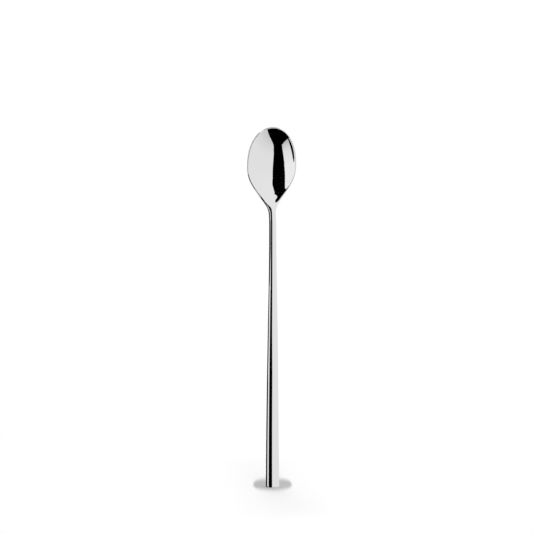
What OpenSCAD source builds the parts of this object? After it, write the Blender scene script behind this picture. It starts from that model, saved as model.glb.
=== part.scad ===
// Iced tea spoon that stands upright on the flat end of its handle.
// Millimetres. The origin is the centre of the foot, +Z runs up the handle to the tip of the bowl,
// and the hollow of the bowl faces -Y.

/* [Handle] */
// Length of the handle from its foot to the shoulder of the joint
handle_l = 136; // [110:1:150]
// Width of the handle at its foot
foot_w = 7.4; // [5.5:0.1:9]
// Thickness of the handle at its foot, front to back
foot_t = 5.5; // [4:0.1:6]
// Radius of the edge round the foot
foot_r = 0.3; // [0.1:0.05:0.8]
// Squareness of the section at the foot, where 2 is an ellipse
foot_squareness = 2.5; // [2:0.1:3]
// How far the handle arches forward from foot to neck, which brings the balance over the foot
arch = 2.3; // [0:0.1:5]

/* [Neck] */
// Width of the oval neck
neck_w = 3.8; // [3.4:0.05:4.6]
// Thickness of the neck, front to back
neck_t = 3; // [2.6:0.05:3.6]
// Squareness of the section at the neck, where 2 is an ellipse
neck_squareness = 2.3; // [2:0.1:3]
// Length of the straight neck above the joint
neck_l = 8; // [7.5:0.5:12]
// Length over which the neck bends back before the bowl opens
bend_l = 8.5; // [7:0.5:12]

/* [Bowl] */
// Width of the bowl across the middle of its rim
bowl_w = 26.6; // [22:0.1:32]
// Length from the end of the neck to the widest place
heel_l = 26.7; // [22:0.1:32]
// Length from the widest place to the tip
tip_l = 20.8; // [17:0.1:25]
// Depth of the hollow below its rim at the widest place
bowl_depth = 6.2; // [5:0.1:8]
// How much the dish flattens towards its rim, where 0 is a parabola
rim_flatness = 0.06; // [0:0.01:0.12]
// Thickness of the bowl's wall
bowl_t = 0.9; // [0.8:0.05:1.6]
// Farthest that the rim stands behind the neck's middle line
set_back = 3.8; // [2:0.1:5]
// Fullness of the outline at the tip, where 2 is an ellipse
tip_fullness = 2.15; // [2:0.05:2.6]
// How long the outline stays wide towards the neck
heel_fullness = 1.23; // [1:0.01:1.5]
// Squareness of the rim's edge, where 2 is an ellipse
rim_squareness = 16; // [4:1:20]

/* [Joint] */
// Diameter of the spigot on the handle
spigot_d = 1.6; // [1.3:0.1:1.8]
// Length of the spigot
spigot_l = 6; // [4:0.5:6.5]
// Length of the chamfer at the end of the spigot
spigot_chamfer = 0.3; // [0.1:0.05:0.5]
// Gap between spigot and socket that the filler takes up
braze_gap = 0.06; // [0.04:0.01:0.12]
// Gap between the two shoulders
shoulder_gap = 0.05; // [0.03:0.01:0.1]
// Room between the end of the spigot and the bottom of its socket
socket_room = 0.3; // [0.1:0.05:0.5]
// How far the filler stops short of the neck's surface
braze_inset = 0.1; // [0.05:0.05:0.3]

/* [Smoothness] */
// Points round each section
ring_points = 60; // [32:4:72]
// Steps along the handle
handle_steps = 24; // [12:1:36]
// Steps round the edge of the foot
foot_steps = 4; // [2:1:6]
// Steps along the straight neck
neck_steps = 2; // [1:1:4]
// Steps from the neck to the widest place
heel_steps = 32; // [20:1:40]
// Steps from the widest place to the tip
tip_steps = 18; // [12:1:24]

/* [Hidden] */
$fn = 48;

joint_z = handle_l;
bend_z = joint_z + neck_l;
heel_z = bend_z + bend_l;
wide_z = heel_z + heel_l;
tip_z = wide_z + tip_l;
neck_y = -arch;

half_w = bowl_w / 2;
wall_r = bowl_t / 2;
socket_d = spigot_d + 2 * braze_gap;
socket_l = spigot_l + socket_room;
overrun = spigot_chamfer;

// Distance over which a slope is measured
slope_step = neck_w / 200;

// How the handle grows from neck to foot, from before its foot to past the end of its neck
bar_shares = [1.11, 1, 0.89, 0.745, 0.565, 0.33, 0.05, 0, 0];
// How far the middle of the section stands behind the neck, from before the bend to past the tip
back_shares = [0, 0, 0, 0.68, 0.97, 1, 0.92, 0.79, 0.6, 0.37, 0.1, -0.18, -0.5];
// Where the wall thins, as shares of the heel's length past the end of the neck
thin_shares = [-0.1, 0.72];
// Where the rim squares up, as shares of the heel's length
square_shares = [0.05, 0.5];
// Where the hollow opens, as shares of the heel's length
open_shares = [0, 0.4];

// A step from 0 to 1 with no kink at either end
function ease(t) =
    let (s = max(0, min(1, t)))
    s * s * s * (s * (6 * s - 15) + 10);

// The same step between two shares of the heel's length
function ease_heel(z, shares) =
    ease(((z - heel_z) / heel_l - shares[0]) / (shares[1] - shares[0]));

function mix(a, b, t) = a + (b - a) * t;

// Cubic B-spline over a table whose first and last entries lie outside the run, with t from 0 to 1
function spline(table, t) =
    let (
        runs = len(table) - 3,
        place = max(0, min(1, t)) * runs,
        i = min(floor(place), runs - 1),
        f = place - i,
        g = 1 - f
    )
    (table[i] * g * g * g
        + table[i + 1] * (3 * f * f * f - 6 * f * f + 4)
        + table[i + 2] * (3 * g * g * g - 6 * g * g + 4)
        + table[i + 3] * f * f * f) / 6;

// The bar of handle and neck
function bar_share(z) = spline(bar_shares, z / heel_z);
function bar_half_w(z) = mix(neck_w / 2, foot_w / 2, bar_share(z));
function bar_half_t(z) = mix(neck_t / 2, foot_t / 2, bar_share(z));

// Half the width of the outline seen from the front
function heel_half_w(z) =
    let (t = (wide_z - z) / heel_l)
    mix(bar_half_w(heel_z), half_w, (1 + cos(180 * pow(t, heel_fullness))) / 2);
function tip_half_w(z) =
    let (t = min(1, (z - wide_z) / tip_l))
    half_w * pow(max(0, 1 - pow(t, tip_fullness)), 1 / tip_fullness);
function outline_half_w(z) =
    z <= heel_z ? bar_half_w(z) : z <= wide_z ? heel_half_w(z) : tip_half_w(z);

// Half the thickness, and how square the section is
function section_half_t(z) = mix(bar_half_t(min(z, heel_z)), wall_r, ease_heel(z, thin_shares));
function bar_squareness(z) = mix(neck_squareness, foot_squareness, bar_share(z));
function squareness(z) = mix(bar_squareness(min(z, heel_z)), rim_squareness, ease_heel(z, square_shares));

// Middle line seen from the side, and the middle surface of the wall, hollowed like a dish. There w and t are
// the squares of the outline's half width and of x, as shares of the rim's half width.
function middle_y(z) =
    neck_y * ease(z / joint_z) + set_back * spline(back_shares, (z - bend_z) / (tip_z - bend_z));
function dish_y(x, z) =
    let (
        w = pow(outline_half_w(z) / half_w, 2),
        t = pow(x / half_w, 2)
    )
    middle_y(z) + bowl_depth * ease_heel(z, open_shares)
        * ((1 + rim_flatness) * (w - t) - rim_flatness * (w * w - t * t));

// Slopes of that surface across and along the spoon
function slope_x(x, z) =
    let (t = x / half_w)
    -bowl_depth * ease_heel(z, open_shares) / half_w
        * (2 * (1 + rim_flatness) * t - 4 * rim_flatness * pow(t, 3));
function slope_z(x, z) =
    z > tip_z - slope_step
        ? (dish_y(x, z) - dish_y(x, z - slope_step)) / slope_step
        : (dish_y(x, z + slope_step) - dish_y(x, z - slope_step)) / (2 * slope_step);

// How near a point lies to the rim, squared: 0 in the middle and 1 on the rim
function rim_nearness(a, z) =
    z <= wide_z
        ? cos(a) * cos(a)
        : 1 - pow(sin(a) * outline_half_w(z) / half_w, 2);

// Share of the full thickness at angle a of a section
function thickness_share(a, z) =
    let (n = squareness(z))
    pow(max(0, 1 - pow(rim_nearness(a, z), n / 2)), 1 / n);

// A point of the skin at angle a of the section at height z, drawn in all round by inset.
// Angles under 180 lie on the front and the others on the back.
function skin_point(a, z, inset = 0) =
    let (
        x = -(outline_half_w(z) - inset) * cos(a),
        across = slope_x(x, z),
        along = slope_z(x, z),
        side = a < 180 ? -1 : 1,
        out = side * (section_half_t(z) - inset) * thickness_share(a, z)
            / sqrt(1 + across * across + along * along)
    )
    [x - out * across, dish_y(x, z) + out, z - out * along];

function ring(z, inset = 0) =
    [for (i = [0:ring_points - 1]) skin_point(i * 360 / ring_points, z, inset)];

// Triangles between rings, with a flat face over the first ring
function start_face() = [for (i = [0:ring_points - 1]) i];
function between_faces(rings) = [
    for (r = [0:rings - 2], i = [0:ring_points - 1])
        let (
            next = (i + 1) % ring_points,
            a = r * ring_points + i,
            b = r * ring_points + next,
            c = a + ring_points,
            d = b + ring_points
        )
        each [[a, c, b], [b, c, d]]
];
function end_face(rings) =
    [for (i = [ring_points - 1:-1:0]) (rings - 1) * ring_points + i];
function end_fan(rings) = [
    for (i = [0:ring_points - 1])
        [(rings - 1) * ring_points + i, rings * ring_points, (rings - 1) * ring_points + (i + 1) % ring_points]
];

// The bar from its rounded foot to its shoulder
module bar_skin() {
    foot_rings = [
        for (i = [0:foot_steps - 1])
            let (a = 90 * i / foot_steps)
            ring(foot_r * (1 - cos(a)), foot_r * (1 - sin(a)))
    ];
    bar_rings = [
        for (i = [0:handle_steps])
            ring(mix(foot_r, joint_z, i / handle_steps))
    ];
    rings = concat(foot_rings, bar_rings);
    polyhedron(
        points = [for (r = rings) each r],
        faces = concat([start_face()], between_faces(len(rings)), [end_face(len(rings))])
    );
}

// The neck, heel and dish of the bowl up to its tip
module bowl_skin() {
    start_z = joint_z + shoulder_gap;
    neck_zs = [for (i = [0:neck_steps - 1]) mix(start_z, bend_z, i / neck_steps)];
    heel_zs = [for (i = [0:heel_steps]) mix(bend_z, wide_z, i / heel_steps)];
    tip_zs = [for (i = [1:tip_steps - 1]) wide_z + tip_l * sin(90 * i / tip_steps)];
    rings = [for (z = concat(neck_zs, heel_zs, tip_zs)) ring(z)];
    polyhedron(
        points = concat([for (r = rings) each r], [[0, dish_y(0, tip_z), tip_z]]),
        faces = concat([start_face()], between_faces(len(rings)), end_fan(len(rings)))
    );
}

// Forged bowl with its neck, bored for the handle's spigot
module bowl() {
    color("gainsboro")
    difference() {
        bowl_skin();
        translate([0, neck_y, joint_z - overrun])
            cylinder(d = socket_d, h = socket_l + overrun);
    }
}

// Solid bar handle with its turned spigot
module handle() {
    color("silver") {
        bar_skin();
        translate([0, neck_y, joint_z - overrun])
            cylinder(d = spigot_d, h = spigot_l + overrun - spigot_chamfer);
        translate([0, neck_y, joint_z + spigot_l - spigot_chamfer])
            cylinder(d1 = spigot_d, d2 = spigot_d - 2 * spigot_chamfer, h = spigot_chamfer);
    }
}

// Filler that fills the socket round the spigot and the gap between the shoulders
module braze_filler() {
    color("khaki")
    difference() {
        union() {
            translate([0, neck_y, joint_z])
                cylinder(d = neck_t - 2 * braze_inset, h = shoulder_gap);
            translate([0, neck_y, joint_z])
                cylinder(d = socket_d, h = socket_l);
        }
        translate([0, neck_y, joint_z - overrun])
            cylinder(d = spigot_d, h = spigot_l + overrun - spigot_chamfer);
        translate([0, neck_y, joint_z + spigot_l - spigot_chamfer])
            cylinder(d1 = spigot_d, d2 = spigot_d - 2 * spigot_chamfer, h = spigot_chamfer);
    }
}

bowl();
handle();
braze_filler();
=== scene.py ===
import math

import bpy
import numpy as np
from bpy.props import FloatProperty, FloatVectorProperty, IntProperty, PointerProperty
from bpy.types import Operator, Panel, PropertyGroup
from mathutils import Matrix, Vector


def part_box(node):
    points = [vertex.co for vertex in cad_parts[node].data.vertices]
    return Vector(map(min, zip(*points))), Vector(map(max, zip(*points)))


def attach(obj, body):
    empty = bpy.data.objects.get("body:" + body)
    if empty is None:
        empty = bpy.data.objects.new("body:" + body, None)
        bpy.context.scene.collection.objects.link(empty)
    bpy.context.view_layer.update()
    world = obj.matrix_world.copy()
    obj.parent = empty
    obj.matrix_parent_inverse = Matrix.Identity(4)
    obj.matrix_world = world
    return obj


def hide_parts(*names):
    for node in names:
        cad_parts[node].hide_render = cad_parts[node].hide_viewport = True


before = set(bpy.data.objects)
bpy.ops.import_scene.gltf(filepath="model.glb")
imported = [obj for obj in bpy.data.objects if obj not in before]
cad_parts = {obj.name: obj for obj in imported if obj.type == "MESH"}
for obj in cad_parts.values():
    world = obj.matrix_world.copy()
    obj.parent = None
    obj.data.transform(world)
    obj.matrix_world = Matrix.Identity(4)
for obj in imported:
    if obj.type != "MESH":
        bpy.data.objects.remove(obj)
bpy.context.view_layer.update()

bl_info = {
    "name": "Iced Tea Spoon",
    "version": (1, 0, 0),
    "blender": (4, 5, 0),
    "location": "3D View > Sidebar > Spoon",
    "description": "Lofts the polished steel spoon over its frame and sets up its studio",
    "category": "Add Mesh",
}

BODY = "root"
IMAGE_SIZE = 533

# The joint's height and place come from the filler, whose disc lies on the handle's shoulder
JOINT_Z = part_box("braze_filler")[0][2]
JOINT_Y = (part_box("braze_filler")[0][1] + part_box("braze_filler")[1][1]) / 2
FOOT_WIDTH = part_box("handle")[1][0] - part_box("handle")[0][0]

# How the handle grows from neck to foot, from before its foot to past the end of its neck
BAR_SHARES = np.array([1.11, 1, 0.89, 0.745, 0.565, 0.33, 0.05, 0, 0])
# How far the middle of the section stands behind the neck, from before the bend to past the tip
BACK_SHARES = np.array([0, 0, 0, 0.68, 0.97, 1, 0.92, 0.79, 0.6, 0.37, 0.1, -0.18, -0.5])
# Where the wall thins, the rim squares up and the hollow opens, as shares of the heel's length
THIN_SHARES = (-0.1, 0.72)
SQUARE_SHARES = (0.05, 0.5)
OPEN_SHARES = (0, 0.4)
# Half the step over which the dish's slope along the spoon is taken, as a share of the neck's width
SLOPE_STEP_SHARE = 0.005

# Points round a section and rings near the tip crowd towards the rim by this power of their share
RIM_CROWDING = 1.7
# Rings on the flat foot, as shares of its outline, and one on each shoulder, as a share of half the neck
FOOT_RING_SHARES = (0.5, 0.8)
SHOULDER_RING_SHARE = 0.8
# Rings round the foot's rounded edge, and the fold in degrees from which an edge is shaded sharp
FOOT_EDGE_RINGS = 8
SHARP_ANGLE = 38

# How the polishing lines are stretched: along the handle, and across the bowl
HANDLE_GRAIN = (1, 1, 0.02)
BOWL_GRAIN = (0.02, 1, 1)


def length_property(name, text, metres):
    """A length that the panel shows in the scene's units."""
    return FloatProperty(name=name, description=text, default=metres, min=0, unit="LENGTH", precision=5)


def share_property(name, text, value, highest=1.0):
    """A plain number between nothing and its highest value."""
    return FloatProperty(name=name, description=text, default=value, min=0, max=highest)


def count_property(name, text, value, lowest):
    """A whole number of points or rings."""
    return IntProperty(name=name, description=text, default=value, min=lowest)


def angle_property(name, text, degrees):
    """An angle that the panel shows in degrees."""
    return FloatProperty(name=name, description=text, default=math.radians(degrees), subtype="ANGLE")


def colour_property(name, text, rgb):
    """A linear colour."""
    return FloatVectorProperty(
        name=name, description=text, default=rgb, size=3, subtype="COLOR", min=0, max=1)


class HandleSizes(PropertyGroup):
    foot_width: length_property("Foot width", "Width of the handle at its foot", FOOT_WIDTH)
    foot_thickness: length_property("Foot thickness", "Thickness at the foot, front to back", 0.0055)
    foot_edge: length_property("Foot edge", "Radius of the edge round the foot", 0.0003)
    foot_squareness: share_property("Foot squareness", "2 makes the section an ellipse", 2.5, 8)
    arch: length_property("Arch", "How far the handle arches forward from foot to neck", -JOINT_Y)


class BowlSizes(PropertyGroup):
    neck_width: length_property("Neck width", "Width of the oval neck", 0.0038)
    neck_thickness: length_property("Neck thickness", "Thickness of the neck, front to back", 0.003)
    neck_squareness: share_property("Neck squareness", "2 makes the section an ellipse", 2.3, 8)
    neck_length: length_property("Neck length", "Straight neck above the joint", 0.008)
    bend_length: length_property("Bend length", "Where the neck bends back before the bowl opens", 0.0085)
    rim_width: length_property("Rim width", "Width across the middle of the rim", 0.0266)
    heel_length: length_property("Heel length", "From the end of the neck to the widest place", 0.0267)
    tip_length: length_property("Tip length", "From the widest place to the tip", 0.0208)
    hollow_depth: length_property("Hollow depth", "Depth of the hollow at the widest place", 0.0062)
    rim_flatness: share_property("Rim flatness", "How much the dish flattens towards its rim", 0.06)
    wall: length_property("Wall", "Thickness of the bowl's wall", 0.0009)
    set_back: length_property("Set back", "Farthest that the rim stands behind the neck", 0.0038)
    tip_fullness: share_property("Tip fullness", "2 makes the tip's outline an ellipse", 2.15, 4)
    heel_fullness: share_property("Heel fullness", "How long the outline stays wide", 1.23, 2)
    rim_squareness: share_property("Rim squareness", "2 makes the rim's edge an ellipse", 16, 24)


class JointSizes(PropertyGroup):
    spigot_diameter: length_property("Spigot diameter", "Diameter of the handle's spigot", 0.0016)
    spigot_length: length_property("Spigot length", "Length of the spigot", 0.006)
    spigot_chamfer: length_property("Spigot chamfer", "Chamfer at the end of the spigot", 0.0003)
    braze_gap: length_property("Braze gap", "Gap between spigot and socket", 0.00006)
    shoulder_gap: length_property("Shoulder gap", "Gap between the two shoulders", 0.00005)
    socket_room: length_property("Socket room", "Room past the end of the spigot", 0.0003)


class MeshDetail(PropertyGroup):
    ring_points: count_property("Ring points", "Points round a section", 272, 32)
    bar_rings: count_property("Bar rings", "Rings along the handle", 200, 12)
    heel_rings: count_property("Heel rings", "Rings from joint to widest place", 190, 24)
    tip_rings: count_property("Tip rings", "Rings from widest place to tip", 110, 16)


class SteelFinish(PropertyGroup):
    steel: colour_property("Steel", "Colour of the polished steel", (0.83, 0.83, 0.83))
    braze: colour_property("Braze", "Colour of the brazing filler", (0.82, 0.78, 0.62))
    least_roughness: share_property("Least roughness", "Where the polish is best", 0.01)
    most_roughness: share_property("Most roughness", "Where the polish is dullest", 0.025)
    polish_bump: share_property("Polish lines", "Strength of the fine polishing lines", 0.006)


class StudioSettings(PropertyGroup):
    camera_turn: angle_property("Camera turn", "Angle of the camera round the spoon", -9)
    camera_rise: angle_property("Camera rise", "Angle of the camera above level", 10)
    camera_roll: angle_property("Camera roll", "Lean of the picture", -0.12)
    camera_distance: length_property("Camera distance", "From the lens to the middle of the spoon", 1.2)
    card_distance: length_property("Card distance", "From the bowl to the cards that it mirrors", 1.2)
    lamp_light: share_property("Lamp light", "What the lamp adds to a white floor", 0.52, 4)
    sky_light: share_property("Sky light", "What the surroundings add to a white floor", 0.54, 4)


class SpoonForm:
    """The skin of the spoon, as formulas of a section's height and of the angle round it, in metres."""

    def __init__(self, handle, bowl):
        self.handle = handle
        self.bowl = bowl
        self.bend_z = JOINT_Z + bowl.neck_length
        self.heel_z = self.bend_z + bowl.bend_length
        self.wide_z = self.heel_z + bowl.heel_length
        self.tip_z = self.wide_z + bowl.tip_length
        self.neck_w = bowl.neck_width / 2
        self.neck_t = bowl.neck_thickness / 2
        self.half_w = bowl.rim_width / 2
        self.slope_step = SLOPE_STEP_SHARE * bowl.neck_width

    def bar_share(self, z):
        """A cubic B-spline over the bar's shares, from foot to heel."""
        return spline(BAR_SHARES, z / self.heel_z)

    def ease_heel(self, z, shares):
        """A smooth step between two shares of the heel's length."""
        return ease(((z - self.heel_z) / self.bowl.heel_length - shares[0]) / (shares[1] - shares[0]))

    def half_width(self, z):
        """Bar up to the heel, then a stretched half cosine to the widest place, then a superellipse to the
        tip."""
        bar = mix(self.neck_w, self.handle.foot_width / 2, self.bar_share(z))
        end = mix(self.neck_w, self.handle.foot_width / 2, self.bar_share(np.array(self.heel_z)))
        down = np.clip((self.wide_z - z) / self.bowl.heel_length, 0, 1)
        heel = mix(end, self.half_w, (1 + np.cos(np.pi * down ** self.bowl.heel_fullness)) / 2)
        up = np.clip((z - self.wide_z) / self.bowl.tip_length, 0, 1)
        full = self.bowl.tip_fullness
        tip = self.half_w * (1 - up ** full) ** (1 / full)
        return np.where(z <= self.heel_z, bar, np.where(z <= self.wide_z, heel, tip))

    def half_thickness(self, z):
        """The bar's own thickness, which thins to the wall of the bowl."""
        bar = mix(self.neck_t, self.handle.foot_thickness / 2, self.bar_share(np.minimum(z, self.heel_z)))
        return mix(bar, self.bowl.wall / 2, self.ease_heel(z, THIN_SHARES))

    def squareness(self, z):
        """Exponent of the section: nearly an ellipse at the neck, squarer at the foot, square at the rim."""
        share = self.bar_share(np.minimum(z, self.heel_z))
        bar = mix(self.bowl.neck_squareness, self.handle.foot_squareness, share)
        return mix(bar, self.bowl.rim_squareness, self.ease_heel(z, SQUARE_SHARES))

    def middle_y(self, z):
        """The handle's arch from foot to joint, and above it the spline that sets the bowl back."""
        bent = (z - self.bend_z) / (self.tip_z - self.bend_z)
        return self.bowl.set_back * spline(BACK_SHARES, bent) - self.handle.arch * ease(z / JOINT_Z)

    def dish_y(self, x, z):
        """The middle line, hollowed by a parabola across, flattened a little by a fourth power, that reaches
        zero at the rim."""
        hollow = self.bowl.hollow_depth * self.ease_heel(z, OPEN_SHARES)
        flat = self.bowl.rim_flatness
        wide = (self.half_width(z) / self.half_w) ** 2
        t = (x / self.half_w) ** 2
        return self.middle_y(z) + hollow * ((1 + flat) * (wide - t) - flat * (wide ** 2 - t ** 2))

    def slopes(self, x, z):
        """Slopes of the dish across and along the spoon."""
        hollow = self.bowl.hollow_depth * self.ease_heel(z, OPEN_SHARES)
        flat = self.bowl.rim_flatness
        t = x / self.half_w
        across = -hollow / self.half_w * (2 * (1 + flat) * t - 4 * flat * t ** 3)
        above = np.minimum(z + self.slope_step, self.tip_z)
        below = z - self.slope_step
        along = (self.dish_y(x, above) - self.dish_y(x, below)) / (above - below)
        return across, along

    def skin(self, angle, z, inset=0.0):
        """The dish pushed forward and back along its normal by a superellipse of thickness. Angles below
        pi lie on the front. The thickness fades by nearness to the rim, which is the squared cosine up to
        the widest place and closes round the tip above it."""
        square = self.squareness(z)
        x = -(self.half_width(z) - inset) * np.cos(angle)
        across, along = self.slopes(x, z)
        over_tip = 1 - (np.sin(angle) * self.half_width(z) / self.half_w) ** 2
        near = np.where(z <= self.wide_z, np.cos(angle) ** 2, over_tip)
        share = np.clip(1 - near ** (square / 2), 0, None) ** (1 / square)
        side = np.where(angle < np.pi, -1, 1)
        out = side * (self.half_thickness(z) - inset) * share / np.sqrt(1 + across ** 2 + along ** 2)
        return np.stack([x - out * across, self.dish_y(x, z) + out, z - out * along], axis=-1)


def mix(low, high, t):
    """The value a share t of the way from low to high."""
    return low + (high - low) * t


def ease(t):
    """A step from 0 to 1 whose slope and bend are zero at both ends: 6t^5 - 15t^4 + 10t^3."""
    s = np.clip(t, 0, 1)
    return s ** 3 * (s * (6 * s - 15) + 10)


def spline(shares, t):
    """Cubic B-spline over evenly spaced shares whose first and last lie outside the run."""
    runs = len(shares) - 3
    place = np.clip(t, 0, 1) * runs
    i = np.minimum(np.floor(place).astype(int), runs - 1)
    f = place - i
    g = 1 - f
    return (shares[i] * g ** 3
            + shares[i + 1] * (3 * f ** 3 - 6 * f ** 2 + 4)
            + shares[i + 2] * (3 * g ** 3 - 6 * g ** 2 + 4)
            + shares[i + 3] * f ** 3) / 6


def ring_angles(count):
    """Angles round a section, closer together towards the two rims, where a power of the share counts."""
    quarter = count // 4
    t = np.arange(quarter) / quarter
    near = np.pi / 2 * t ** RIM_CROWDING
    far = np.pi - np.pi / 2 * (1 - t) ** RIM_CROWDING
    front = np.concatenate([near, far])
    return np.concatenate([front, front + np.pi])


def circle(angles, radius, z):
    """A level circle round the joint, by the same angles as the skin's rings."""
    x, y = -radius * np.cos(angles), JOINT_Y - radius * np.sin(angles)
    return np.stack([x, y, np.full_like(angles, z)], axis=-1)


def circles(angles, steps):
    """Rings of circles, one for each pair of radius and height."""
    return np.stack([circle(angles, radius, z) for radius, z in steps])


def loft(name, rings, first_pole, last_pole):
    """A closed surface through rings of equal count, with a fan of triangles at each end."""
    count, points = rings.shape[:2]
    verts = np.concatenate([rings.reshape(-1, 3), [first_pole], [last_pole]])
    ring = np.arange(count - 1)[:, None] * points
    here = np.arange(points)[None, :]
    there = (here + 1) % points
    quads = np.stack([ring + here, ring + there, ring + points + there, ring + points + here], axis=-1)
    start = np.stack([there[0], here[0], np.full(points, count * points)], axis=-1)
    top = (count - 1) * points
    end = np.stack([top + here[0], top + there[0], np.full(points, count * points + 1)], axis=-1)
    mesh = bpy.data.meshes.new(name)
    mesh.from_pydata(verts, [], quads.reshape(-1, 4).tolist() + start.tolist() + end.tolist())
    mesh.validate()
    mesh.shade_smooth()
    mesh.set_sharp_from_angle(angle=math.radians(SHARP_ANGLE))
    piece = bpy.data.objects.new(name, mesh)
    bpy.context.scene.collection.objects.link(piece)
    return piece


def new_material(name):
    """An empty node material and its tree."""
    material = bpy.data.materials.new(name)
    material.use_nodes = True
    material.node_tree.nodes.clear()
    return material, material.node_tree


def add_node(tree, kind, **settings):
    """A node with some of its settings and sockets set. Sockets are named with spaces as underscores."""
    node = tree.nodes.new(kind)
    for key, value in settings.items():
        if hasattr(node, key):
            setattr(node, key, value)
        else:
            node.inputs[key.replace("_", " ")].default_value = value
    return node


def polished_steel(name, grain, finish):
    """Mirror-polished steel: fine polishing lines stretched by the grain, and broad soft patches where the
    polish is a little duller."""
    material, tree = new_material(name)
    link = tree.links.new
    coords = add_node(tree, "ShaderNodeTexCoord")
    patches = add_node(tree, "ShaderNodeTexNoise", Scale=60.0, Detail=3.0, Roughness=0.55)
    link(coords.outputs["Object"], patches.inputs["Vector"])
    dullness = add_node(tree, "ShaderNodeMapRange", From_Min=0.3, From_Max=0.7,
                        To_Min=finish.least_roughness, To_Max=finish.most_roughness)
    link(patches.outputs["Fac"], dullness.inputs["Value"])
    stretch = add_node(tree, "ShaderNodeMapping", Scale=grain)
    link(coords.outputs["Object"], stretch.inputs["Vector"])
    lines = add_node(tree, "ShaderNodeTexNoise", Scale=2500.0, Detail=4.0, Roughness=0.6)
    link(stretch.outputs["Vector"], lines.inputs["Vector"])
    bump = add_node(tree, "ShaderNodeBump", Strength=finish.polish_bump, Distance=0.00002)
    link(lines.outputs["Fac"], bump.inputs["Height"])
    shader = add_node(tree, "ShaderNodeBsdfPrincipled", Metallic=1.0)
    shader.inputs["Base Color"].default_value = (*finish.steel, 1)
    link(dullness.outputs["Result"], shader.inputs["Roughness"])
    link(bump.outputs["Normal"], shader.inputs["Normal"])
    output = add_node(tree, "ShaderNodeOutputMaterial")
    link(shader.outputs["BSDF"], output.inputs["Surface"])
    return material


def braze_alloy(finish):
    """Cast silver brazing filler: a grainy, slightly warm metal."""
    material, tree = new_material("braze_alloy")
    link = tree.links.new
    coords = add_node(tree, "ShaderNodeTexCoord")
    grain = add_node(tree, "ShaderNodeTexNoise", Scale=4000.0, Detail=4.0)
    link(coords.outputs["Object"], grain.inputs["Vector"])
    dullness = add_node(tree, "ShaderNodeMapRange", To_Min=0.2, To_Max=0.45)
    link(grain.outputs["Fac"], dullness.inputs["Value"])
    bump = add_node(tree, "ShaderNodeBump", Strength=0.3, Distance=0.00002)
    link(grain.outputs["Fac"], bump.inputs["Height"])
    shader = add_node(tree, "ShaderNodeBsdfPrincipled", Metallic=1.0)
    shader.inputs["Base Color"].default_value = (*finish.braze, 1)
    link(dullness.outputs["Result"], shader.inputs["Roughness"])
    link(bump.outputs["Normal"], shader.inputs["Normal"])
    output = add_node(tree, "ShaderNodeOutputMaterial")
    link(shader.outputs["BSDF"], output.inputs["Surface"])
    return material


class SPOON_OT_handle(Operator):
    """Lofts the tapered bar handle from its rounded foot to its shoulder, with the turned spigot on top"""

    bl_idname = "spoon.handle"
    bl_label = "Make Handle"

    def execute(self, context):
        scene = context.scene
        sizes, joint, detail = scene.spoon_handle, scene.spoon_joint, scene.spoon_detail
        form = SpoonForm(sizes, scene.spoon_bowl)
        angles = ring_angles(detail.ring_points)
        edge = sizes.foot_edge
        turn = np.linspace(0, np.pi / 2, FOOT_EDGE_RINGS + 1)[:-1, None]
        foot = form.skin(angles[None, :], edge * (1 - np.cos(turn)) + 0 * angles, edge * (1 - np.sin(turn)))
        face = foot[0] * np.array(FOOT_RING_SHARES)[:, None, None]
        heights = np.linspace(edge, JOINT_Z, detail.bar_rings)[:, None] + 0 * angles
        bar = form.skin(angles[None, :], heights)
        radius = joint.spigot_diameter / 2
        end = JOINT_Z + joint.spigot_length
        chamfer = joint.spigot_chamfer
        shoulder = SHOULDER_RING_SHARE * form.neck_t
        spigot = circles(angles, [(shoulder, JOINT_Z), (radius, JOINT_Z), (radius, end - chamfer),
                                  (radius - chamfer, end), (radius / 2, end)])
        rings = np.concatenate([face, foot, bar, spigot])
        handle = loft("bar_handle", rings, (0, 0, 0), (0, JOINT_Y, end))
        handle.data.materials.append(polished_steel("handle_steel", HANDLE_GRAIN, scene.spoon_finish))
        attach(handle, BODY)
        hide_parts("handle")
        return {"FINISHED"}


class SPOON_OT_bowl(Operator):
    """Lofts the forged bowl from its socket over the neck and heel to the hollow dish and its tip"""

    bl_idname = "spoon.bowl"
    bl_label = "Make Bowl"

    def execute(self, context):
        scene = context.scene
        sizes, joint, detail = scene.spoon_bowl, scene.spoon_joint, scene.spoon_detail
        form = SpoonForm(scene.spoon_handle, sizes)
        angles = ring_angles(detail.ring_points)
        radius = joint.spigot_diameter / 2 + joint.braze_gap
        bottom = JOINT_Z + joint.spigot_length + joint.socket_room
        start = JOINT_Z + joint.shoulder_gap
        shoulder = SHOULDER_RING_SHARE * form.neck_t
        socket = circles(angles, [(radius / 2, bottom), (radius, bottom), (radius, start), (shoulder, start)])
        up = np.linspace(0, 1, detail.tip_rings)[1:-1]
        tip_zs = form.wide_z + sizes.tip_length * np.sin(np.pi / 2 * (1 - (1 - up) ** RIM_CROWDING))
        heights = np.concatenate([np.linspace(start, form.wide_z, detail.heel_rings), tip_zs])
        skin = form.skin(angles[None, :], heights[:, None] + 0 * angles)
        tip = (0, float(form.dish_y(0, np.array(form.tip_z))), form.tip_z)
        bowl = loft("spoon_bowl", np.concatenate([socket, skin]), (0, JOINT_Y, bottom), tip)
        bowl.data.materials.append(polished_steel("bowl_steel", BOWL_GRAIN, scene.spoon_finish))
        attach(bowl, BODY)
        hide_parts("bowl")
        return {"FINISHED"}


class SPOON_OT_braze(Operator):
    """Gives the brazing filler in the joint its own metal"""

    bl_idname = "spoon.braze"
    bl_label = "Finish Braze"

    def execute(self, context):
        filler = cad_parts["braze_filler"]
        material = braze_alloy(context.scene.spoon_finish)
        for slot in filler.material_slots:
            slot.material = material
        return {"FINISHED"}


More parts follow.
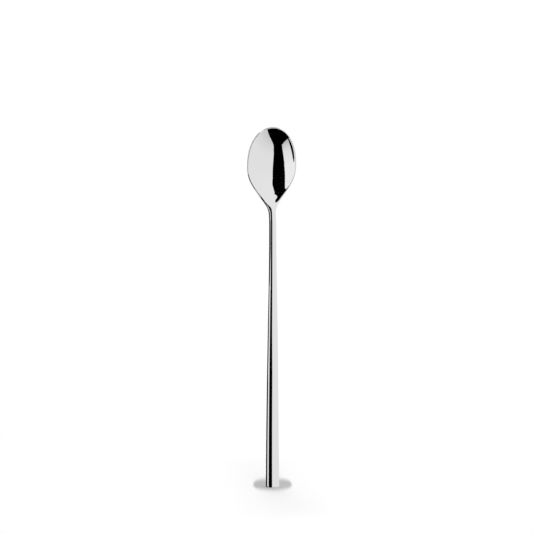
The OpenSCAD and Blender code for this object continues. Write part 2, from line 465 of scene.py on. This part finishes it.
# The studio, as the polished bowl mirrors it. Angles are in degrees: turns are measured round the bowl
# from the front, negative towards the left, and rises are measured above level.

# Height of the middle of the studio, as a share of the spoon's
STUDIO_CENTRE_SHARE = 0.85
# Greys of the room at some rises
BACKDROP_GREYS = [(-90, 0.6), (-66, 0.7), (-52, 0.8), (-36, 0.88), (0, 0.9), (50, 0.93), (62, 0.5), (90, 0.4)]

# Black card gives back almost no light
BLACK_CARD = 0.0005

# Each dark card by its lower and upper edge at some turns
DARK_CARDS = {
    "front_gap_card": [
        (-52.5, 34, 38), (-51, 21, 42), (-50, -1, 43), (-49.2, -20, 43), (-47.5, -30, 43),
        (-45.8, -41, 43), (-45, -60, 43), (-38, -60, 44), (-33, -60, 44.8), (-27, -60, 45.9),
        (-22, -60, 46.5), (-17, -60, 46.6), (-12, -60, 46.4), (-6.4, -60, 46), (-5.5, -28, 45.8),
        (-3.6, -14, 45.8), (-2.7, 0, 44.8), (-2, 21, 44.2), (0.6, 31, 42), (1.8, 37, 39)],
    "lower_dark_card": [
        (-180, -90, -82), (-100, -90, -80), (-76, -90, -58), (-68, -90, -53.3), (-58.7, -90, -52.5),
        (-49, -90, -50.2), (-42, -90, -48.4), (-20, -90, -51), (-6.5, -90, -45), (-5, -90, -38),
        (-4, -90, -44), (-2.3, -90, -52), (4.2, -90, -57), (8, -90, -59), (29, -90, -65.2),
        (60, -90, -68.4), (88, -90, -69), (100, -90, -80), (180, -90, -82)],
    "left_dark_card": [
        (-180, -60, -16), (-154, -60, 40), (-104, -60, 40), (-100, -60, -17), (-92, -60, -18.5),
        (-91, -60, -23), (-71.5, -60, -23), (-71, -60, -14), (-69.6, -60, -15), (-69.4, -60, -27),
        (-69, -60, -40), (-68.4, -60, -50), (-67.3, -60, -55)],
    "left_upper_dark_card": [(-104, -11, 40), (-85, -10, 40), (-69.5, -9, 40)],
}

# Grey strips that the left edge of the bowl mirrors. They hang a little nearer than the dark cards.
GREY_CARD = 0.45
GREY_CARD_NEARNESS = 0.95
GREY_CARDS = {
    "left_grey_card": [(-96, -24, 45), (-89, -24, 45), (-88, -17, 45), (-84, -17, 45)],
    "left_low_grey_card": [(-130, -60, -40), (-106, -60, -40)],
}

# Dark cards close beside the handle and the neck: the height of the middle, the distance and the edges
NEAR_CARDS = {
    "near_handle_card": (0.045, 0.075, [(-52, -53, 53), (-4, -53, 53), (-3, -53, 22), (2, -53, 0)]),
    "near_neck_card": (0.125, 0.03, [(-104, -30, 60), (-75, -30, 60), (-54, 10, 60)]),
}

# The lit panel to the left of the gap, which hangs a little behind the dark cards and fades downwards
LIGHT_PANEL = [(-110, -70, 60), (-38, -70, 60)]
LIGHT_PANEL_FARNESS = 1.05
PANEL_GREYS = [(-60, 0.5), (-51, 0.585), (-47, 0.7), (-40, 0.82), (-35, 0.88), (-16, 0.99), (60, 1.0)]

# Least number of points along and up a card
CARD_COLUMNS = 90
CARD_ROWS = 40

# The floor, in lengths of the spoon: how far it reaches, and how far out it stays plain paper
FLOOR_REACH = 20
FLOOR_CLEAR = 0.5
PAPER_WHITE = 0.98

# The lamp over the spoon, in metres
LAMP_SIZE = (0.2, 0.7)
LAMP_HEIGHT = 1.2

# The shade over the foot, in metres, and how far its middle lies behind the foot's
SHADE_HALF_WIDTH = 0.0106
SHADE_HALF_DEPTH = 0.0178
SHADE_HEIGHT = 0.008
SHADE_BACK = 0.005
# How square its outline is, the share of its depth that is fully black, and the points along an edge
SHADE_SQUARENESS = 2.7
SHADE_CORE_SHARE = 0.4
SHADE_POINTS = 65

# Where the foot and the tip lie in the photograph, in pixels from its top left corner
FOOT_PIXEL = (272.5, 486.5)
TIP_ROW = 127.7

# The camera: its sensor in millimetres, the nearest thing it sees in metres, the first guess of its lens
# in widths of the sensor, and how often its aim is corrected
SENSOR_WIDTH = 36
NEAREST_SIGHT = 0.01
FIRST_REACH = 2.0
AIM_ROUNDS = 12


def studio_point(turn, rise, distance, centre):
    """A point at a turn round the centre and a rise above level, both in radians."""
    return centre + distance * np.stack(
        [np.sin(turn) * np.cos(rise), -np.cos(turn) * np.cos(rise), np.sin(rise)], axis=-1)


def make_card(name, edges, material, distance, centre):
    """A patch of a sphere between a lower and an upper edge that run straight from one turn to the next."""
    turns, lows, highs = np.radians(np.array(edges, dtype=float)).T
    turn = np.union1d(np.linspace(turns[0], turns[-1], CARD_COLUMNS), turns)[None, :]
    low = np.interp(turn, turns, lows)
    high = np.interp(turn, turns, highs)
    up = np.linspace(0, 1, CARD_ROWS)[:, None]
    points = studio_point(turn + 0 * up, low + (high - low) * up, distance, centre)
    rows, columns = points.shape[:2]
    index = np.arange(rows * columns).reshape(rows, columns)
    quads = np.stack([index[:-1, :-1], index[:-1, 1:], index[1:, 1:], index[1:, :-1]], axis=-1)
    mesh = bpy.data.meshes.new(name)
    mesh.from_pydata(points.reshape(-1, 3), [], quads.reshape(-1, 4).tolist())
    mesh.materials.append(material)
    card = bpy.data.objects.new(name, mesh)
    bpy.context.scene.collection.objects.link(card)
    card.visible_camera = False
    card.visible_diffuse = False
    card.visible_shadow = False


def card_material(name, grey):
    """Plain card of one grey, as it looks in the studio's light."""
    material, tree = new_material(name)
    shader = add_node(tree, "ShaderNodeEmission", Strength=1.0)
    shader.inputs["Color"].default_value = (grey, grey, grey, 1)
    output = add_node(tree, "ShaderNodeOutputMaterial")
    tree.links.new(shader.outputs["Emission"], output.inputs["Surface"])
    return material


def grey_ramp(tree, height, greys):
    """A ramp from the sine of a height above level to the greys listed for some heights."""
    low, high = (math.sin(math.radians(greys[i][0])) for i in (0, -1))
    share = add_node(tree, "ShaderNodeMapRange", From_Min=low, From_Max=high)
    tree.links.new(height, share.inputs["Value"])
    ramp = add_node(tree, "ShaderNodeValToRGB")
    stops = ramp.color_ramp.elements
    while len(stops) < len(greys):
        stops.new(1.0)
    for stop, (rise, grey) in zip(stops, greys):
        stop.position = (math.sin(math.radians(rise)) - low) / (high - low)
        stop.color = (grey, grey, grey, 1)
    tree.links.new(share.outputs["Result"], ramp.inputs["Fac"])
    return ramp.outputs["Color"]


def light_panel_material(centre_z, distance):
    """White cloth lit from above, which fades towards its lower edge."""
    material, tree = new_material("light_panel")
    coords = add_node(tree, "ShaderNodeTexCoord")
    parts = add_node(tree, "ShaderNodeSeparateXYZ")
    tree.links.new(coords.outputs["Object"], parts.inputs["Vector"])
    rise = add_node(tree, "ShaderNodeMapRange", From_Min=centre_z - distance, From_Max=centre_z + distance,
                    To_Min=-1.0, To_Max=1.0)
    tree.links.new(parts.outputs["Z"], rise.inputs["Value"])
    shader = add_node(tree, "ShaderNodeEmission", Strength=1.0)
    tree.links.new(grey_ramp(tree, rise.outputs["Result"], PANEL_GREYS), shader.inputs["Color"])
    output = add_node(tree, "ShaderNodeOutputMaterial")
    tree.links.new(shader.outputs["Emission"], output.inputs["Surface"])
    return material


def floor_material(clear_radius):
    """White paper that takes the shadow round the foot and runs into the white backdrop farther out."""
    material, tree = new_material("white_floor")
    link = tree.links.new
    paper = add_node(tree, "ShaderNodeBsdfDiffuse")
    paper.inputs["Color"].default_value = (PAPER_WHITE, PAPER_WHITE, PAPER_WHITE, 1)
    backdrop = add_node(tree, "ShaderNodeEmission", Strength=1.0)
    coords = add_node(tree, "ShaderNodeTexCoord")
    distance = add_node(tree, "ShaderNodeVectorMath", operation="LENGTH")
    link(coords.outputs["Object"], distance.inputs["Vector"])
    far = add_node(tree, "ShaderNodeMapRange", From_Min=clear_radius, From_Max=2 * clear_radius)
    link(distance.outputs["Value"], far.inputs["Value"])
    path = add_node(tree, "ShaderNodeLightPath")
    seen = add_node(tree, "ShaderNodeMath", operation="MULTIPLY")
    link(far.outputs["Result"], seen.inputs[0])
    link(path.outputs["Is Camera Ray"], seen.inputs[1])
    blend = add_node(tree, "ShaderNodeMixShader")
    link(seen.outputs["Value"], blend.inputs["Fac"])
    link(paper.outputs["BSDF"], blend.inputs[1])
    link(backdrop.outputs["Emission"], blend.inputs[2])
    output = add_node(tree, "ShaderNodeOutputMaterial")
    link(blend.outputs["Shader"], output.inputs["Surface"])
    return material


def make_floor(length):
    """A wide square of white paper, sized by the spoon's length."""
    mesh = bpy.data.meshes.new("floor")
    reach = FLOOR_REACH * length
    corners = [(-reach, -reach, 0), (reach, -reach, 0), (reach, reach, 0), (-reach, reach, 0)]
    mesh.from_pydata(corners, [], [(0, 1, 2, 3)])
    mesh.materials.append(floor_material(FLOOR_CLEAR * length))
    floor = bpy.data.objects.new("floor", mesh)
    bpy.context.scene.collection.objects.link(floor)
    floor.visible_glossy = False


def make_lamp(light):
    """A long lamp overhead, with the energy that lights a white floor by the given share."""
    data = bpy.data.lights.new("overhead_lamp", "AREA")
    data.shape = "RECTANGLE"
    data.size, data.size_y = LAMP_SIZE
    data.energy = light * (math.pi * LAMP_HEIGHT) ** 2
    lamp = bpy.data.objects.new("overhead_lamp", data)
    lamp.location = (0, 0, LAMP_HEIGHT)
    lamp.visible_glossy = False
    bpy.context.scene.collection.objects.link(lamp)


def shade_material():
    """Black that thins out from a share of the depth towards the front and back edges."""
    material, tree = new_material("foot_shade")
    link = tree.links.new
    coords = add_node(tree, "ShaderNodeTexCoord")
    parts = add_node(tree, "ShaderNodeSeparateXYZ")
    link(coords.outputs["UV"], parts.inputs["Vector"])
    signed = add_node(tree, "ShaderNodeMapRange", To_Min=-1.0, To_Max=1.0)
    link(parts.outputs["Y"], signed.inputs["Value"])
    away = add_node(tree, "ShaderNodeMath", operation="ABSOLUTE")
    link(signed.outputs["Result"], away.inputs[0])
    thin = add_node(tree, "ShaderNodeMapRange", From_Min=SHADE_CORE_SHARE)
    link(away.outputs["Value"], thin.inputs["Value"])
    black = add_node(tree, "ShaderNodeEmission", Strength=0.0)
    clear = add_node(tree, "ShaderNodeBsdfTransparent")
    blend = add_node(tree, "ShaderNodeMixShader")
    link(thin.outputs["Result"], blend.inputs["Fac"])
    link(black.outputs["Emission"], blend.inputs[1])
    link(clear.outputs["BSDF"], blend.inputs[2])
    output = add_node(tree, "ShaderNodeOutputMaterial")
    link(blend.outputs["Shader"], output.inputs["Surface"])
    return material


def make_shade(turn):
    """A superellipse just above the floor that isn't seen and only casts a shadow, the soft one round the
    foot. Its long axis runs away from the camera, at the camera's turn. Its UV map runs from its front
    edge to its back edge."""
    share = -np.cos(np.linspace(0, np.pi, SHADE_POINTS))
    bulge = np.clip(1 - np.abs(share) ** SHADE_SQUARENESS, 0, None) ** (1 / SHADE_SQUARENESS)
    deep = SHADE_HALF_DEPTH * bulge
    across = np.tile(SHADE_HALF_WIDTH * share, 2)
    away = SHADE_BACK + np.concatenate([-deep, deep])
    x = across * math.cos(turn) - away * math.sin(turn)
    y = across * math.sin(turn) + away * math.cos(turn)
    points = np.stack([x, y, np.full_like(across, SHADE_HEIGHT)], axis=-1)
    here = np.arange(SHADE_POINTS - 1)
    quads = np.stack([here, here + 1, here + 1 + SHADE_POINTS, here + SHADE_POINTS], axis=-1)
    mesh = bpy.data.meshes.new("foot_shade")
    mesh.from_pydata(points, [], quads.tolist())
    corners = quads.ravel()
    sideways = np.tile((share + 1) / 2, 2)[corners]
    uv = np.stack([sideways, (corners >= SHADE_POINTS).astype(float)], axis=-1)
    mesh.uv_layers.new(name="front_to_back").data.foreach_set("uv", uv.ravel())
    mesh.materials.append(shade_material())
    shade = bpy.data.objects.new("foot_shade", mesh)
    shade.visible_camera = False
    shade.visible_glossy = False
    shade.visible_diffuse = False
    bpy.context.scene.collection.objects.link(shade)


def surroundings(scene, sky_light):
    """White for the camera, for mirrors a pale room that darkens overhead and under the floor, and a plain
    level of light for the rest."""
    world = bpy.data.worlds.new("studio")
    scene.world = world
    world.use_nodes = True
    tree = world.node_tree
    tree.nodes.clear()
    link = tree.links.new
    coords = add_node(tree, "ShaderNodeTexCoord")
    parts = add_node(tree, "ShaderNodeSeparateXYZ")
    link(coords.outputs["Generated"], parts.inputs["Vector"])
    room = grey_ramp(tree, parts.outputs["Z"], BACKDROP_GREYS)
    path = add_node(tree, "ShaderNodeLightPath")
    mirror = add_node(tree, "ShaderNodeMath", operation="MAXIMUM")
    link(path.outputs["Is Glossy Ray"], mirror.inputs[0])
    link(path.outputs["Is Transmission Ray"], mirror.inputs[1])
    plain = add_node(tree, "ShaderNodeMix", data_type="RGBA")
    seen = add_node(tree, "ShaderNodeMix", data_type="RGBA")
    for node, factor in ((plain, mirror.outputs["Value"]), (seen, path.outputs["Is Camera Ray"])):
        link(factor, node.inputs["Factor"])
    # The Mix node has one set of sockets per data type, and the colour ones come last
    plain_a, plain_b = [s for s in plain.inputs if s.type == "RGBA"]
    plain_a.default_value = (sky_light, sky_light, sky_light, 1)
    link(room, plain_b)
    seen_a, seen_b = [s for s in seen.inputs if s.type == "RGBA"]
    link([s for s in plain.outputs if s.type == "RGBA"][0], seen_a)
    seen_b.default_value = (1, 1, 1, 1)
    background = add_node(tree, "ShaderNodeBackground", Strength=1.0)
    link([s for s in seen.outputs if s.type == "RGBA"][0], background.inputs["Color"])
    output = add_node(tree, "ShaderNodeOutputWorld")
    link(background.outputs["Background"], output.inputs["Surface"])


def aim_camera(scene, studio, tip):
    """Points a camera so that the foot's front edge and the tip fall on their pixels, by correcting the
    aim and the lens a few times from where they fall."""
    camera = bpy.data.objects.new("camera", bpy.data.cameras.new("camera"))
    scene.collection.objects.link(camera)
    scene.camera = camera
    turn, rise = studio.camera_turn, studio.camera_rise
    back = Vector((math.sin(turn) * math.cos(rise), -math.cos(turn) * math.cos(rise), math.sin(rise)))
    middle = Vector((0, 0, tip[2] / 2))
    eye = middle + back * studio.camera_distance
    aim = middle.copy()
    reach = FIRST_REACH
    for _ in range(AIM_ROUNDS):
        view = (aim - eye).to_track_quat("-Z", "Y").to_matrix() @ Matrix.Rotation(studio.camera_roll, 3, "Z")
        look = view.transposed()
        foot_at = look @ (Vector((0, 0, 0)) - eye)
        tip_at = look @ (Vector(tip) - eye)
        foot_row = IMAGE_SIZE / 2 - foot_at.y / -foot_at.z * IMAGE_SIZE * reach
        foot_column = IMAGE_SIZE / 2 + foot_at.x / -foot_at.z * IMAGE_SIZE * reach
        tip_row = IMAGE_SIZE / 2 - tip_at.y / -tip_at.z * IMAGE_SIZE * reach
        reach *= (FOOT_PIXEL[1] - TIP_ROW) / (foot_row - tip_row)
        metres = studio.camera_distance / (IMAGE_SIZE * reach)
        aim += view.col[1] * (FOOT_PIXEL[1] - foot_row) * metres
        aim -= view.col[0] * (FOOT_PIXEL[0] - foot_column) * metres
    camera.matrix_world = Matrix.Translation(eye) @ view.to_4x4()
    camera.data.sensor_width = SENSOR_WIDTH
    camera.data.lens = SENSOR_WIDTH * reach
    camera.data.clip_start = NEAREST_SIGHT


class SPOON_OT_studio(Operator):
    """Sets the surroundings, cards, floor, lamp, shade and camera"""

    bl_idname = "spoon.studio"
    bl_label = "Set Studio"

    def execute(self, context):
        scene = context.scene
        studio = scene.spoon_studio
        form = SpoonForm(scene.spoon_handle, scene.spoon_bowl)
        tip = (0, float(form.dish_y(0, np.array(form.tip_z))), form.tip_z)
        scene.view_settings.view_transform = "Standard"
        surroundings(scene, studio.sky_light)
        centre = np.array([0, 0, form.tip_z * STUDIO_CENTRE_SHARE])
        dark = card_material("dark_card", BLACK_CARD)
        for name, edges in DARK_CARDS.items():
            make_card(name, edges, dark, studio.card_distance, centre)
        grey = card_material("grey_card", GREY_CARD)
        for name, edges in GREY_CARDS.items():
            make_card(name, edges, grey, GREY_CARD_NEARNESS * studio.card_distance, centre)
        for name, (height, distance, edges) in NEAR_CARDS.items():
            make_card(name, edges, dark, distance, np.array([0, 0, height]))
        panel_distance = LIGHT_PANEL_FARNESS * studio.card_distance
        panel = light_panel_material(centre[2], panel_distance)
        make_card("light_panel", LIGHT_PANEL, panel, panel_distance, centre)
        make_floor(form.tip_z)
        make_lamp(studio.lamp_light)
        make_shade(studio.camera_turn)
        aim_camera(scene, studio, tip)
        return {"FINISHED"}


class SPOON_PT_panel(Panel):
    """Lists the sizes, the finish and the steps that make the spoon"""

    bl_idname = "SPOON_PT_panel"
    bl_label = "Iced Tea Spoon"
    bl_space_type = "VIEW_3D"
    bl_region_type = "UI"
    bl_category = "Spoon"

    def draw(self, context):
        for group in PROPERTY_GROUPS:
            box = self.layout.box()
            box.label(text=group.replace("spoon_", "").capitalize())
            settings = getattr(context.scene, group)
            for name in settings.__annotations__:
                box.prop(settings, name)
        for operator in OPERATORS:
            self.layout.operator(operator.bl_idname)


PROPERTY_GROUPS = {
    "spoon_handle": HandleSizes,
    "spoon_bowl": BowlSizes,
    "spoon_joint": JointSizes,
    "spoon_detail": MeshDetail,
    "spoon_finish": SteelFinish,
    "spoon_studio": StudioSettings,
}
OPERATORS = (SPOON_OT_handle, SPOON_OT_bowl, SPOON_OT_braze, SPOON_OT_studio)


def register():
    for name, group in PROPERTY_GROUPS.items():
        bpy.utils.register_class(group)
        setattr(bpy.types.Scene, name, PointerProperty(type=group))
    for operator in OPERATORS:
        bpy.utils.register_class(operator)
    bpy.utils.register_class(SPOON_PT_panel)


def unregister():
    bpy.utils.unregister_class(SPOON_PT_panel)
    for operator in reversed(OPERATORS):
        bpy.utils.unregister_class(operator)
    for name, group in PROPERTY_GROUPS.items():
        delattr(bpy.types.Scene, name)
        bpy.utils.unregister_class(group)


def main():
    """Registers the classes and makes every piece in order."""
    register()
    bpy.ops.spoon.handle()
    bpy.ops.spoon.bowl()
    bpy.ops.spoon.braze()
    bpy.ops.spoon.studio()


if __name__ == "__main__":
    main()
